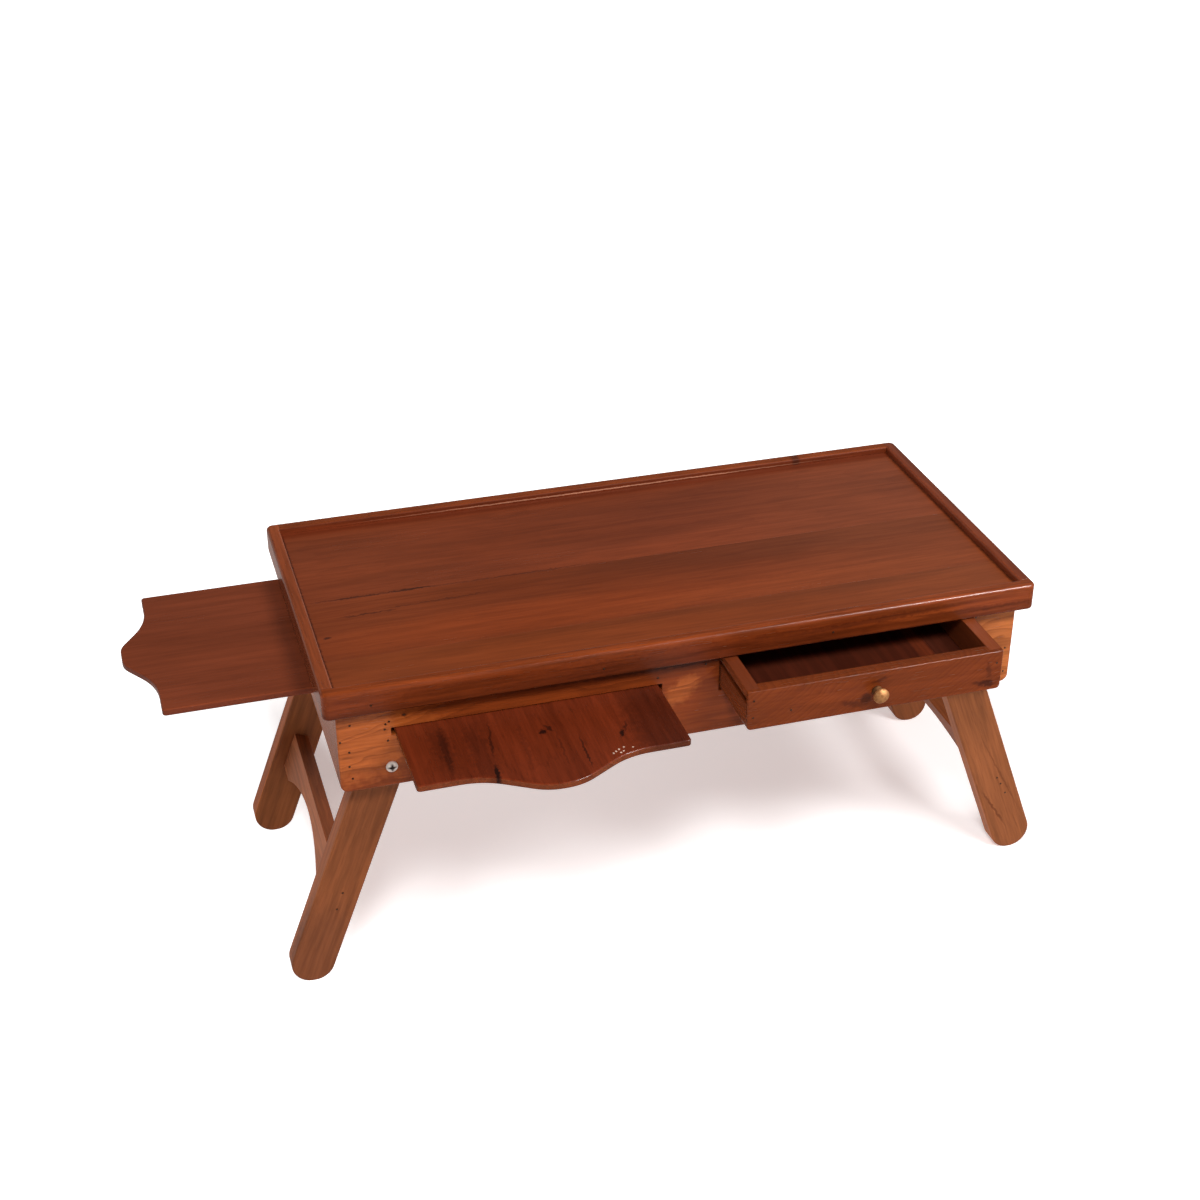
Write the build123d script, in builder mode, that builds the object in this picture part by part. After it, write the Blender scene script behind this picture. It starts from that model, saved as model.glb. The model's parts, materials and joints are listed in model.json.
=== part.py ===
from build123d import *

import os
from math import asin, atan2, cos, degrees, hypot, radians, sin

# A wooden lap desk on two pairs of folding legs, with a drawer and two pull-out trays.
# The origin is the centre of the writing surface: x to the right, y away from the sitter,
# z up. The legs are unfolded, the drawer is partly open and both trays are drawn out.

# Overall sizes
top_length = 610.0
top_depth = 296.0
stand_height = 300.0  # floor to the rim's upper edge

# Top: three edge-glued boards
panel_thickness = 12.0
front_board_width = 47.0
middle_board_width = 95.0

# Rim: strips nailed round the boards, standing up as a lip
rim_width = 11.0
rim_height = 24.0
lip_height = 6.0
rim_corner_radius = 6.0
rim_outer_radius = 3.0
rim_inner_radius = 2.0
rim_foot_radius = 2.0

# Box under the top
board_thickness = 15.0
box_corner_radius = 7.0
edge_radius = 1.5
center_gap = 24.7  # middle of the desk to the drawer opening and to the tray slot
end_gap = 28.3  # from those openings to the end boards
partition_thickness = 12.0

# Trays and the grooved rails that carry them
tray_thickness = 6.0
tray_lift = 0.3  # running gap under a tray
tray_headroom = 0.7  # running gap over a tray
tray_edge_radius = 1.5
tray_corner_radius = 3.0
tray_grip = 6.0  # how far a tray's edge reaches into its groove
tray_side_gap = 1.0  # from a tray's edge to the bottom of its groove
groove_ledge = 6.0  # wood over and under a groove
rail_width = 20.0
front_tray_play = 3.0  # from the tray's edge to the end of its slot
front_tray_ear = 34.0  # straight stretch beside the nose
front_tray_nose = 27.0
front_tray_open = 83.5
left_tray_inset = 29.5  # left tray's edge to the front and back boards
left_tray_ear = 24.5
left_tray_nose = 24.0
left_tray_open = 128.5
slot_margin = 0.5  # rim to the left tray's slot
layer_gap = 2.5  # battens to the rails below them
rail_lift = 3.0  # rails over the sill of the drawer opening
back_gap = 0.5  # what a closed drawer or tray leaves behind it

# Noses of the trays, in shares of half a nose's width: where its tip turns, where its
# flanks would reach the ears, and how much of the tip's half is taken up by its rounding
front_tray_tip_share = 0.18
front_tray_flank_share = 0.775
front_tray_round_share = 0.9
left_tray_tip_share = 0.19
left_tray_flank_share = 0.715
left_tray_round_share = 0.47

# Legs
leg_width = 37.0
leg_thickness = 19.0
leg_edge_radius = 2.0
leg_bay_clearance = 2.0  # over a folded leg
heel_gap = 8.5  # rounded head of a leg to the end board
stop_gap = 0.3  # leg to the end board's lower edge, its stop
sole_depth = 1.0  # how much of the rounded foot is cut flat
stretcher_drop = 123.0  # pivot to the stretcher's upper edge
stretcher_depth = 36.0
stretcher_thickness = 13.0
stretcher_end = 25.0  # straight lower edge beside the arch
arch_rise = 20.0

# Pivot screws with their washers and nuts
screw_diameter = 5.0
head_diameter = 9.6
head_height = 3.2
head_rim = 1.2  # straight side of the pan head
cross_length = 5.0
cross_width = 1.1
cross_depth = 1.6
washer_diameter = 12.0
washer_thickness = 1.0
pivot_play = 0.1  # leg to the washer on either side
nut_width = 8.0
nut_height = 4.0
screw_end = 1.5  # screw past its nut
running_clearance = 0.05

# Drawer
drawer_open = 64.0
drawer_wall = 11.0
drawer_lap = 4.0  # front wood left over the ends of the sides
drawer_side_gap = 1.0
drawer_lift = 0.5  # drawer over the sill
drawer_head_gap = 1.0  # drawer under the rim
drawer_corner_radius = 4.0
drawer_edge_radius = 1.0
drawer_back_thickness = 9.0
drawer_back_drop = 3.0  # back below the sides
floor_thickness = 4.0
floor_rise = 5.0
floor_groove = 4.0
floor_fit = 0.2
narrow_plank = 27.0
runner_height = 4.4
runner_grip = 4.0  # how far a runner reaches into the side
runner_drop = 10.5  # drawer's upper edge to the runner's middle
runner_clearance = 0.3

# Knob and its screw
knob_diameter = 13.3
knob_height = 13.0
knob_rose_diameter = 9.0
knob_rose_height = 1.5
knob_neck_diameter = 5.6
knob_head_height = 5.0
knob_side_height = 1.6
knob_screw_diameter = 3.0
knob_screw_grip = 6.0
knob_screw_head_diameter = 6.5
knob_screw_head_height = 2.2

# How far a cutting shape runs past what it cuts
overrun = 2.0

# Heights, from the writing surface downwards
rim_bottom = lip_height - rim_height
slot_height = tray_lift + tray_thickness + tray_headroom
left_slot_top = rim_bottom - slot_margin
left_slot_bottom = left_slot_top - slot_height
batten_bottom = left_slot_bottom - groove_ledge
rail_height = slot_height + 2 * groove_ledge
rail_bottom = batten_bottom - layer_gap - rail_height
front_slot_bottom = rail_bottom + groove_ledge
sill = rail_bottom - rail_lift
pivot_z = sill - leg_bay_clearance - leg_width / 2
box_bottom = pivot_z - leg_width / 2
box_height = -panel_thickness - box_bottom
floor_z = lip_height - stand_height

# Plan of the box
box_x = top_length / 2 - rim_width
box_y = top_depth / 2 - rim_width
inner_x = box_x - board_thickness
inner_y = box_y - board_thickness
bay_outer = inner_x - end_gap
bay_width = bay_outer - center_gap
bay_center = (bay_outer + center_gap) / 2
left_tray_width = 2 * (inner_y - left_tray_inset)

# Legs: the splay at which a leg's outer edge meets the end board's lower inner edge
leg_radius = leg_width / 2
pivot_x = inner_x - heel_gap - leg_radius
stop_x = inner_x - pivot_x
stop_bearing = atan2(stop_x, leg_radius)
stop_turn = asin((leg_radius + stop_gap) / hypot(stop_x, leg_radius))
splay = degrees(stop_bearing - stop_turn)
leg_face = inner_y - washer_thickness - pivot_play
leg_back = leg_face - leg_thickness
leg_reach = (pivot_z - leg_radius - floor_z + sole_depth) / cos(radians(splay))
bore_radius = screw_diameter / 2 + running_clearance

# Drawer in its bay, drawn forward
drawer_width = bay_width - 2 * drawer_side_gap
drawer_left = center_gap + drawer_side_gap
drawer_right = drawer_left + drawer_width
drawer_bottom = sill + drawer_lift
drawer_top = rim_bottom - drawer_head_gap
drawer_height = drawer_top - drawer_bottom
drawer_front_y = -box_y - drawer_open
drawer_rear_y = inner_y - back_gap - drawer_open
side_front_y = drawer_front_y + drawer_lap
side_length = drawer_rear_y - side_front_y
floor_bottom = drawer_bottom + floor_rise
floor_top = floor_bottom + floor_thickness
runner_z = drawer_top - runner_drop

os.makedirs("parts", exist_ok=True)

# Top boards, glued edge to edge, front to back
front_joint = front_board_width - box_y
back_joint = front_joint + middle_board_width
boards = (("front", -box_y, front_joint), ("middle", front_joint, back_joint), ("back", back_joint, box_y))
for name, near, far in boards:
    with BuildPart() as top_board:
        with BuildSketch(Plane.XY.offset(-panel_thickness)):
            with Locations((0, near)):
                Rectangle(2 * box_x, far - near, align=(Align.CENTER, Align.MIN))
        extrude(amount=panel_thickness)
    top_board.part.label = f"top_board_{name}"
    export_step(top_board.part, f"parts/top_board_{name}.step")

# Rim shaped as one ring with rounded edges, then parted at its four butt joints
with BuildPart() as rim_ring:
    with BuildSketch(Plane.XY.offset(rim_bottom)):
        RectangleRounded(top_length, top_depth, rim_corner_radius)
        Rectangle(2 * box_x, 2 * box_y, mode=Mode.SUBTRACT)
    extrude(amount=rim_height)
    fillet(rim_ring.faces().sort_by(Axis.Z)[-1].outer_wire().edges(), rim_outer_radius)
    fillet(rim_ring.faces().sort_by(Axis.Z)[0].outer_wire().edges(), rim_foot_radius)
    fillet(rim_ring.faces().sort_by(Axis.Z)[-1].inner_wires()[0].edges(), rim_inner_radius)

with BuildPart() as rim_front:
    add(rim_ring.part)
    split(bisect_by=Plane.XZ.offset(box_y), keep=Keep.TOP)
rim_front.part.label = "rim_front"
export_step(rim_front.part, "parts/rim_front.step")

for side, name in ((-1, "left"), (1, "right")):
    with BuildPart() as rim_side:
        add(rim_ring.part)
        split(bisect_by=Plane.XZ.offset(box_y), keep=Keep.BOTTOM)
        split(bisect_by=Plane.YZ.offset(side * box_x), keep=Keep.TOP if side > 0 else Keep.BOTTOM)
    rim_side.part.label = f"rim_{name}"
    export_step(rim_side.part, f"parts/rim_{name}.step")

with BuildPart() as rim_back:
    add(rim_ring.part)
    split(bisect_by=Plane.XZ.offset(-box_y), keep=Keep.BOTTOM)
    split(bisect_by=Plane.YZ.offset(box_x), keep=Keep.BOTTOM)
    split(bisect_by=Plane.YZ.offset(-box_x), keep=Keep.TOP)
rim_back.part.label = "rim_back"
export_step(rim_back.part, "parts/rim_back.step")


def is_outer_arris(edge):
    """Whether an edge of a long board's outer face runs along its foot or an end."""
    return edge.center().Z < pivot_z or abs(edge.center().X) > inner_x


# Front board: notch for the drawer, slot for the tray, holes for the pivot screws
with BuildPart() as apron_front:
    with BuildSketch(Plane.XZ.offset(inner_y)) as front_outline:
        with Locations((0, box_bottom)):
            Rectangle(2 * box_x, box_height, align=(Align.CENTER, Align.MIN))
        fillet(front_outline.vertices().group_by(Axis.Y)[0], box_corner_radius)
        with Locations((bay_center, sill)):
            Rectangle(bay_width, -sill, align=(Align.CENTER, Align.MIN), mode=Mode.SUBTRACT)
        with Locations((-bay_center, front_slot_bottom)):
            Rectangle(bay_width, slot_height, align=(Align.CENTER, Align.MIN), mode=Mode.SUBTRACT)
        with Locations((-pivot_x, pivot_z), (pivot_x, pivot_z)):
            Circle(bore_radius, mode=Mode.SUBTRACT)
    extrude(amount=board_thickness)
    front_face = apron_front.faces().sort_by(Axis.Y)[0]
    fillet(front_face.outer_wire().edges().filter_by(is_outer_arris), edge_radius)
apron_front.part.label = "apron_front"
export_step(apron_front.part, "parts/apron_front.step")

# Back board: plain but for the screw holes
with BuildPart() as apron_back:
    with BuildSketch(Plane.XZ.offset(-box_y)) as back_outline:
        with Locations((0, box_bottom)):
            Rectangle(2 * box_x, box_height, align=(Align.CENTER, Align.MIN))
        fillet(back_outline.vertices().group_by(Axis.Y)[0], box_corner_radius)
        with Locations((-pivot_x, pivot_z), (pivot_x, pivot_z)):
            Circle(bore_radius, mode=Mode.SUBTRACT)
    extrude(amount=board_thickness)
    back_face = apron_back.faces().sort_by(Axis.Y)[-1]
    fillet(back_face.outer_wire().edges().filter_by(is_outer_arris), edge_radius)
apron_back.part.label = "apron_back"
export_step(apron_back.part, "parts/apron_back.step")

# End boards between them; the left one has the slot of its tray
for side, name in ((-1, "left"), (1, "right")):
    with BuildPart() as apron_end:
        with BuildSketch(Plane.YZ.offset(min(side * box_x, side * inner_x))):
            with Locations((0, box_bottom)):
                Rectangle(2 * inner_y, box_height, align=(Align.CENTER, Align.MIN))
            if side < 0:
                with Locations((0, left_slot_bottom)):
                    Rectangle(
                        left_tray_width + 2 * tray_side_gap,
                        slot_height,
                        align=(Align.CENTER, Align.MIN),
                        mode=Mode.SUBTRACT,
                    )
        extrude(amount=board_thickness)
        foot_edges = apron_end.edges().filter_by(Axis.Y).group_by(Axis.Z)[0]
        fillet(foot_edges.sort_by(Axis.X)[0 if side < 0 else -1], box_corner_radius)
    apron_end.part.label = f"apron_{name}"
    export_step(apron_end.part, f"parts/apron_{name}.step")

# Partitions beside the drawer and the runners on them
for side, name in ((-1, "left"), (1, "right")):
    bay_edge = center_gap if side < 0 else bay_outer
    with BuildPart() as partition:
        with BuildSketch(Plane.XZ.offset(-inner_y)):
            with Locations((bay_edge + side * partition_thickness / 2, sill)):
                Rectangle(partition_thickness, -panel_thickness - sill, align=(Align.CENTER, Align.MIN))
        extrude(amount=2 * inner_y)
    partition.part.label = f"drawer_partition_{name}"
    export_step(partition.part, f"parts/drawer_partition_{name}.step")

    runner_width = drawer_side_gap + runner_grip
    with BuildPart() as runner:
        with BuildSketch(Plane.XZ.offset(-inner_y)):
            with Locations((bay_edge - side * runner_width / 2, runner_z)):
                Rectangle(runner_width, runner_height)
        extrude(amount=2 * inner_y)
    runner.part.label = f"drawer_runner_{name}"
    export_step(runner.part, f"parts/drawer_runner_{name}.step")

# Grooved rails of the front tray, front board to back board
front_tray_width = bay_width - 2 * front_tray_play
for side, name in ((-1, "left"), (1, "right")):
    tray_edge = side * front_tray_width / 2 - bay_center
    rail_face = tray_edge - side * tray_grip
    with BuildPart() as rail:
        with BuildSketch(Plane.XZ.offset(-inner_y)):
            with Locations((rail_face + side * rail_width / 2, rail_bottom)):
                Rectangle(rail_width, rail_height, align=(Align.CENTER, Align.MIN))
            with Locations((tray_edge + side * tray_side_gap, front_slot_bottom)):
                Rectangle(
                    tray_side_gap + tray_grip + overrun,
                    slot_height,
                    align=(Align.MIN if side < 0 else Align.MAX, Align.MIN),
                    mode=Mode.SUBTRACT,
                )
        extrude(amount=2 * inner_y)
    rail.part.label = f"front_tray_rail_{name}"
    export_step(rail.part, f"parts/front_tray_rail_{name}.step")

# Grooved battens of the left tray, under the top from the end board to the drawer's partition
batten_end = center_gap - partition_thickness
for side, name in ((-1, "front"), (1, "back")):
    tray_edge = side * left_tray_width / 2
    batten_face = tray_edge - side * tray_grip
    with BuildPart() as batten:
        with BuildSketch(Plane.YZ.offset(-inner_x)):
            with Locations((batten_face + side * rail_width / 2, batten_bottom)):
                Rectangle(rail_width, -panel_thickness - batten_bottom, align=(Align.CENTER, Align.MIN))
            with Locations((tray_edge + side * tray_side_gap, left_slot_bottom)):
                Rectangle(
                    tray_side_gap + tray_grip + overrun,
                    slot_height,
                    align=(Align.MIN if side < 0 else Align.MAX, Align.MIN),
                    mode=Mode.SUBTRACT,
                )
        extrude(amount=inner_x + batten_end)
    batten.part.label = f"left_tray_batten_{name}"
    export_step(batten.part, f"parts/left_tray_batten_{name}.step")


def tray_board(plane, width, length, ear, nose, tip_share, flank_share, round_share):
    """A thin board whose end has a rounded nose between two straight ears.

    In the plane's own axes the ears lie on y = 0, the nose points to -y and the tail to +y.
    Each flank of the nose is straight, with tangent arcs into the tip and into the ear.
    """
    half = width / 2
    nose_half = half - ear
    tip = tip_share * nose_half
    foot = flank_share * nose_half
    slope = atan2(nose, foot - tip)
    tip_run = round_share * tip
    foot_run = nose_half - foot
    with BuildPart() as tray:
        with BuildSketch(plane) as outline:
            with BuildLine():
                for side in (-1, 1):
                    flank_start = (side * (tip + tip_run * cos(slope)), tip_run * sin(slope) - nose)
                    flank_end = (side * (foot - foot_run * cos(slope)), -foot_run * sin(slope))
                    TangentArc((side * (tip - tip_run), -nose), flank_start, tangent=(side, 0))
                    Line(flank_start, flank_end)
                    TangentArc((side * nose_half, 0), flank_end, tangent=(-side, 0))
                    Line((side * nose_half, 0), (side * half, 0))
                    Line((side * half, 0), (side * half, length))
                Line((tip_run - tip, -nose), (tip - tip_run, -nose))
                Line((-half, length), (half, length))
            make_face()
            ears = outline.vertices().group_by(Axis.X)
            fillet([group.sort_by(Axis.Y)[0] for group in (ears[0], ears[-1])], tray_corner_radius)
        extrude(amount=tray_thickness)
        fillet(tray.faces().filter_by(Axis.Z).edges(), tray_edge_radius)
    return tray


front_tray = tray_board(
    Plane((-bay_center, -box_y - front_tray_open, front_slot_bottom + tray_lift)),
    front_tray_width,
    box_y + inner_y - back_gap,
    front_tray_ear,
    front_tray_nose,
    front_tray_tip_share,
    front_tray_flank_share,
    front_tray_round_share,
)
front_tray.part.label = "front_tray"
export_step(front_tray.part, "parts/front_tray.step")

left_tray = tray_board(
    Plane((-box_x - left_tray_open, 0, left_slot_bottom + tray_lift), x_dir=(0, -1, 0)),
    left_tray_width,
    box_x + batten_end - back_gap,
    left_tray_ear,
    left_tray_nose,
    left_tray_tip_share,
    left_tray_flank_share,
    left_tray_round_share,
)
left_tray.part.label = "left_tray"
export_step(left_tray.part, "parts/left_tray.step")

# Drawer front: ends rebated over the sides, a groove for the floor, a hole for the knob's screw
knob_x = (drawer_left + drawer_right) / 2
knob_z = (drawer_bottom + drawer_top) / 2
front_rear_y = drawer_front_y + drawer_wall
with BuildPart() as drawer_front:
    with BuildSketch(Plane.XZ.offset(-front_rear_y)) as face_outline:
        with Locations((drawer_left, drawer_bottom)):
            Rectangle(drawer_width, drawer_height, align=Align.MIN)
        fillet(face_outline.vertices().group_by(Axis.Y)[0], drawer_corner_radius)
    extrude(amount=drawer_wall)
    fillet(drawer_front.faces().sort_by(Axis.Y)[0].edges(), drawer_edge_radius)
    with BuildSketch(Plane.XZ.offset(-front_rear_y)):
        for end in (drawer_left, drawer_right):
            with Locations((end, knob_z)):
                Rectangle(2 * drawer_wall, drawer_height + 2 * overrun)
    extrude(amount=drawer_wall - drawer_lap, mode=Mode.SUBTRACT)
    with BuildSketch(Plane.XZ.offset(-front_rear_y)):
        with Locations((knob_x, floor_bottom)):
            Rectangle(drawer_width, floor_thickness + floor_fit, align=(Align.CENTER, Align.MIN))
    extrude(amount=floor_groove, mode=Mode.SUBTRACT)
    with BuildSketch(Plane.XZ.offset(-front_rear_y)):
        with Locations((knob_x, knob_z)):
            Circle(knob_screw_diameter / 2 + running_clearance)
    extrude(amount=drawer_wall, mode=Mode.SUBTRACT)
drawer_front.part.label = "drawer_front"
export_step(drawer_front.part, "parts/drawer_front.step")

# Drawer sides: runner groove outside, floor groove inside
for side, name in ((-1, "left"), (1, "right")):
    outer = drawer_left if side < 0 else drawer_right
    inner = outer - side * drawer_wall
    outward = Align.MIN if side < 0 else Align.MAX
    inward = Align.MAX if side < 0 else Align.MIN
    with BuildPart() as drawer_side:
        with BuildSketch(Plane.XZ.offset(-drawer_rear_y)) as side_section:
            with Locations((outer, drawer_bottom)):
                Rectangle(drawer_wall, drawer_height, align=(outward, Align.MIN))
            fillet(
                side_section.vertices().group_by(Axis.Y)[0].sort_by(Axis.X)[0 if side < 0 else -1],
                drawer_corner_radius,
            )
            with Locations((outer, runner_z)):
                Rectangle(
                    2 * (runner_grip + runner_clearance),
                    runner_height + 2 * runner_clearance,
                    mode=Mode.SUBTRACT,
                )
            with Locations((inner, floor_bottom)):
                Rectangle(
                    2 * floor_groove,
                    floor_thickness + floor_fit,
                    align=(Align.CENTER, Align.MIN),
                    mode=Mode.SUBTRACT,
                )
        extrude(amount=side_length)
    drawer_side.part.label = f"drawer_side_{name}"
    export_step(drawer_side.part, f"parts/drawer_side_{name}.step")

# Drawer back, standing on the floor between the sides
inside_width = drawer_width - 2 * drawer_wall
with BuildPart() as drawer_back:
    with BuildSketch(Plane.XZ.offset(-drawer_rear_y)):
        with Locations((knob_x, floor_top)):
            Rectangle(
                inside_width, drawer_top - drawer_back_drop - floor_top, align=(Align.CENTER, Align.MIN)
            )
    extrude(amount=drawer_back_thickness)
drawer_back.part.label = "drawer_back"
export_step(drawer_back.part, "parts/drawer_back.step")

# Drawer floor: a wide and a narrow plank, slid into the grooves from behind
floor_left = drawer_left + drawer_wall - floor_groove + floor_fit
floor_right = drawer_right - drawer_wall + floor_groove - floor_fit
floor_front_y = front_rear_y - floor_groove + floor_fit
plank_joint = floor_right - narrow_plank
for name, left, right in (("wide", floor_left, plank_joint), ("narrow", plank_joint, floor_right)):
    with BuildPart() as plank:
        with BuildSketch(Plane.XY.offset(floor_bottom)):
            with Locations((left, floor_front_y)):
                Rectangle(right - left, drawer_rear_y - floor_front_y, align=Align.MIN)
        extrude(amount=floor_thickness)
    plank.part.label = f"drawer_floor_{name}"
    export_step(plank.part, f"parts/drawer_floor_{name}.step")

# Knob turned about its own axis: rose, neck and domed head, bored for its screw
knob_axis = Axis((knob_x, drawer_front_y, knob_z), (0, -1, 0))
knob_plane = Plane((knob_x, drawer_front_y, knob_z), x_dir=(-1, 0, 0))
knob_head_z = knob_height - knob_head_height
with BuildPart() as drawer_knob:
    with BuildSketch(knob_plane):
        with BuildLine():
            Polyline(
                (0, knob_height),
                (0, 0),
                (knob_rose_diameter / 2, 0),
                (knob_rose_diameter / 2, knob_rose_height),
                (knob_neck_diameter / 2, 2 * knob_rose_height),
            )
            TangentArc(
                (knob_neck_diameter / 2, 2 * knob_rose_height),
                (knob_diameter / 2, knob_head_z),
                tangent=(0, 1),
            )
            Line((knob_diameter / 2, knob_head_z), (knob_diameter / 2, knob_head_z + knob_side_height))
            TangentArc((0, knob_height), (knob_diameter / 2, knob_head_z + knob_side_height), tangent=(1, 0))
        make_face()
    revolve(axis=knob_axis)
    with BuildSketch(Plane.XZ.offset(-drawer_front_y)):
        with Locations((knob_x, knob_z)):
            Circle(knob_screw_diameter / 2 + running_clearance)
    extrude(amount=knob_screw_grip + running_clearance, mode=Mode.SUBTRACT)
drawer_knob.part.label = "drawer_knob"
export_step(drawer_knob.part, "parts/drawer_knob.step")

# Screw from inside the drawer into the knob
with BuildPart() as knob_screw:
    with BuildSketch(Plane.XZ.offset(-front_rear_y)):
        with Locations((knob_x, knob_z)):
            Circle(knob_screw_diameter / 2)
    extrude(amount=drawer_wall + knob_screw_grip)
    with BuildSketch(Plane.XZ.offset(-front_rear_y)):
        with Locations((knob_x, knob_z)):
            Circle(knob_screw_head_diameter / 2)
    extrude(amount=-knob_screw_head_height)
    fillet(knob_screw.faces().sort_by(Axis.Y)[-1].edges(), knob_screw_head_height / 2)
knob_screw.part.label = "knob_screw"
export_step(knob_screw.part, "parts/knob_screw.step")

# Legs: boards with a rounded head about the pivot and a rounded foot cut flat on the floor
for side, side_name in ((-1, "left"), (1, "right")):
    leg_axis = Vector(side * sin(radians(splay)), 0, -cos(radians(splay)))
    for depth_name, outer_y in (("front", -leg_face), ("back", leg_back)):
        with BuildPart() as leg:
            inner_face = Plane(
                (side * pivot_x, outer_y + leg_thickness, pivot_z), x_dir=leg_axis, z_dir=(0, -1, 0)
            )
            with BuildSketch(inner_face):
                with Locations((leg_reach / 2, 0)):
                    SlotCenterToCenter(leg_reach, leg_width)
            extrude(amount=leg_thickness)
            fillet(leg.faces().filter_by(Axis.Y).edges(), leg_edge_radius)
            with BuildSketch(inner_face):
                Circle(bore_radius)
            extrude(amount=leg_thickness, mode=Mode.SUBTRACT)
            split(bisect_by=Plane.XY.offset(floor_z), keep=Keep.TOP)
        leg.part.label = f"{side_name}_leg_{depth_name}"
        export_step(leg.part, f"parts/{side_name}_leg_{depth_name}.step")

    # Stretcher between the two legs, arched along its lower edge
    across = Vector(cos(radians(splay)), 0, side * sin(radians(splay)))
    stretcher_head = Vector(side * pivot_x, 0, pivot_z) + leg_axis * stretcher_drop
    arch_half = leg_back - stretcher_end
    with BuildPart() as stretcher:
        with BuildSketch(Plane(stretcher_head, x_dir=(0, 1, 0), z_dir=across)):
            with BuildLine():
                Polyline(
                    (-arch_half, -stretcher_depth),
                    (-leg_back, -stretcher_depth),
                    (-leg_back, 0),
                    (leg_back, 0),
                    (leg_back, -stretcher_depth),
                    (arch_half, -stretcher_depth),
                )
                ThreePointArc(
                    (arch_half, -stretcher_depth),
                    (0, arch_rise - stretcher_depth),
                    (-arch_half, -stretcher_depth),
                )
            make_face()
        extrude(amount=stretcher_thickness / 2, both=True)
    stretcher.part.label = f"{side_name}_stretcher"
    export_step(stretcher.part, f"parts/{side_name}_stretcher.step")

# Pivot fittings, one set at each end of the front and back boards
nut_seat = leg_back - pivot_play - washer_thickness
screw_length = box_y - nut_seat + nut_height + screw_end
pivots = [(x, end) for x in (-pivot_x, pivot_x) for end in (-1, 1)]

# Pan-head screws with a cross recess, heads outside the boards
with BuildPart() as pivot_screws:
    for x, end in pivots:
        with BuildSketch(Plane((x, end * box_y, pivot_z), x_dir=(1, 0, 0), z_dir=(0, 0, -end))):
            with BuildLine():
                TangentArc((0, -head_height), (head_diameter / 2, -head_rim), tangent=(1, 0))
                Polyline(
                    (head_diameter / 2, -head_rim),
                    (head_diameter / 2, 0),
                    (screw_diameter / 2, 0),
                    (screw_diameter / 2, screw_length),
                    (0, screw_length),
                    (0, -head_height),
                )
            make_face()
        revolve(axis=Axis((x, 0, pivot_z), (0, 1, 0)))
        head_top = Plane((x, end * (box_y + head_height), pivot_z), x_dir=(1, 0, 0), z_dir=(0, -end, 0))
        with BuildSketch(head_top):
            Rectangle(cross_length, cross_width)
            Rectangle(cross_width, cross_length)
        extrude(amount=cross_depth, mode=Mode.SUBTRACT)
pivot_screws.part.label = "pivot_screws"
export_step(pivot_screws.part, "parts/pivot_screws.step")

# Washers on both sides of each leg
with BuildPart() as pivot_washers:
    for x, end in pivots:
        for seat in (inner_y, leg_back - pivot_play):
            with BuildSketch(Plane((x, end * seat, pivot_z), z_dir=(0, -end, 0))):
                Circle(washer_diameter / 2)
                Circle(bore_radius, mode=Mode.SUBTRACT)
            extrude(amount=washer_thickness)
pivot_washers.part.label = "pivot_washers"
export_step(pivot_washers.part, "parts/pivot_washers.step")

# Hexagon nuts inside the legs
with BuildPart() as pivot_nuts:
    for x, end in pivots:
        with BuildSketch(Plane((x, end * nut_seat, pivot_z), z_dir=(0, -end, 0))):
            RegularPolygon(nut_width / 2, 6, major_radius=False)
            Circle(bore_radius, mode=Mode.SUBTRACT)
        extrude(amount=nut_height)
pivot_nuts.part.label = "pivot_nuts"
export_step(pivot_nuts.part, "parts/pivot_nuts.step")
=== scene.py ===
import json
from math import atan2, cos, hypot, pi, radians, sin

import bpy
import numpy as np
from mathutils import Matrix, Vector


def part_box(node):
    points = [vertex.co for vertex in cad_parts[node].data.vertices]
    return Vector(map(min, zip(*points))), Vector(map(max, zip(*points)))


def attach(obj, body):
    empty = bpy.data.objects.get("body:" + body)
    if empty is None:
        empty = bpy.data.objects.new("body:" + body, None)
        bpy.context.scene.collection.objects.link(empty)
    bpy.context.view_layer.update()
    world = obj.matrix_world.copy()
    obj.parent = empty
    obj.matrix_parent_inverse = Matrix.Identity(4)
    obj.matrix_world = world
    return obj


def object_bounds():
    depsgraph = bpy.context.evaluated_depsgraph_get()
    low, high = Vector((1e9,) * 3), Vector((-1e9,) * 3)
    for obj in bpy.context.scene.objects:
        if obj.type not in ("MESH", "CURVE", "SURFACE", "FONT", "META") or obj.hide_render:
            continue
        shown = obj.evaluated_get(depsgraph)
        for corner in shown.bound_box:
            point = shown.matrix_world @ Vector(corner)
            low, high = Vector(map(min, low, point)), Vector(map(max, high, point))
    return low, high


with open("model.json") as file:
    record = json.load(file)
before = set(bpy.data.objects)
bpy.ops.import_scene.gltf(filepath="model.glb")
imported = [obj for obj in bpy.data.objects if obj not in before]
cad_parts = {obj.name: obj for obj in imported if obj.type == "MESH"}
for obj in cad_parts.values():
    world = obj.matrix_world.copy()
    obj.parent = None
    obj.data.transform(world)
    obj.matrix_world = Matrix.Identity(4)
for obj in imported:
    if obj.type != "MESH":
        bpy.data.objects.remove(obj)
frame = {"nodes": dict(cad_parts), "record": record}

cad_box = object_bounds()

# Top: three planed boards of red-brown hardwood, edge-glued with the grain along the desk and
# rubbed with a thin lacquer. The narrow front board is browner, the middle one more orange, and
# the glue lines are darker. Along the foot of the rim the panel is painted darker: painted shade.


def srgb(red, green, blue):
    """A colour given in display values from 0 to 255, as linear RGBA."""
    shares = np.array((red, green, blue)) / 255
    linear = np.where(shares <= 0.04045, shares / 12.92, ((shares + 0.055) / 1.055) ** 2.4)
    return (*linear.tolist(), 1)


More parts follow.
